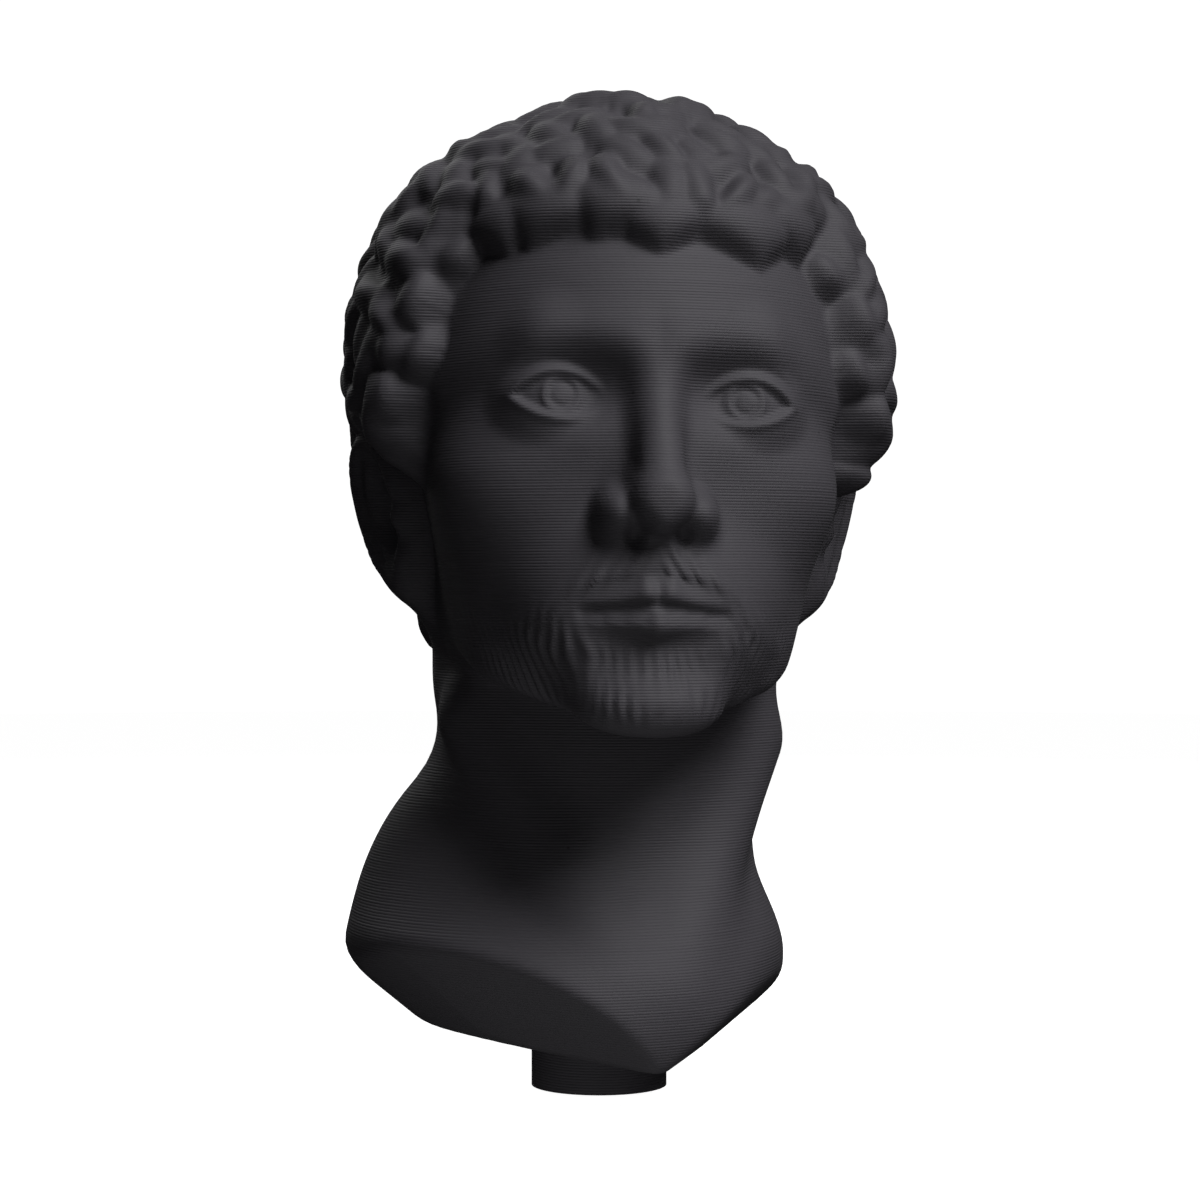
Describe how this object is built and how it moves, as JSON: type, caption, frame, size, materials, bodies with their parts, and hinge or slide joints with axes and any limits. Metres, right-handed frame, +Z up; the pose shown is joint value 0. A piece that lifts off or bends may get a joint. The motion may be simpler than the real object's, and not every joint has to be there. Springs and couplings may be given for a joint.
{
  "type": "portrait bust",
  "caption": "Bust of a bearded man with short curly locks, in the antique manner, with neck, pointed chest piece and a round foot, printed in dark plastic.",
  "frame": {"origin": "middle of the flat underside of the round foot", "axes": "+Z up, the face towards -Y, +X towards the viewer's right when facing the face"},
  "size_m": [0.0611, 0.076, 0.1095],
  "materials": {
    "print": "matte charcoal plastic with fine level print layers"
  },
  "bodies": {
    "root": {"bust": "print"}
  },
  "joints": []
}
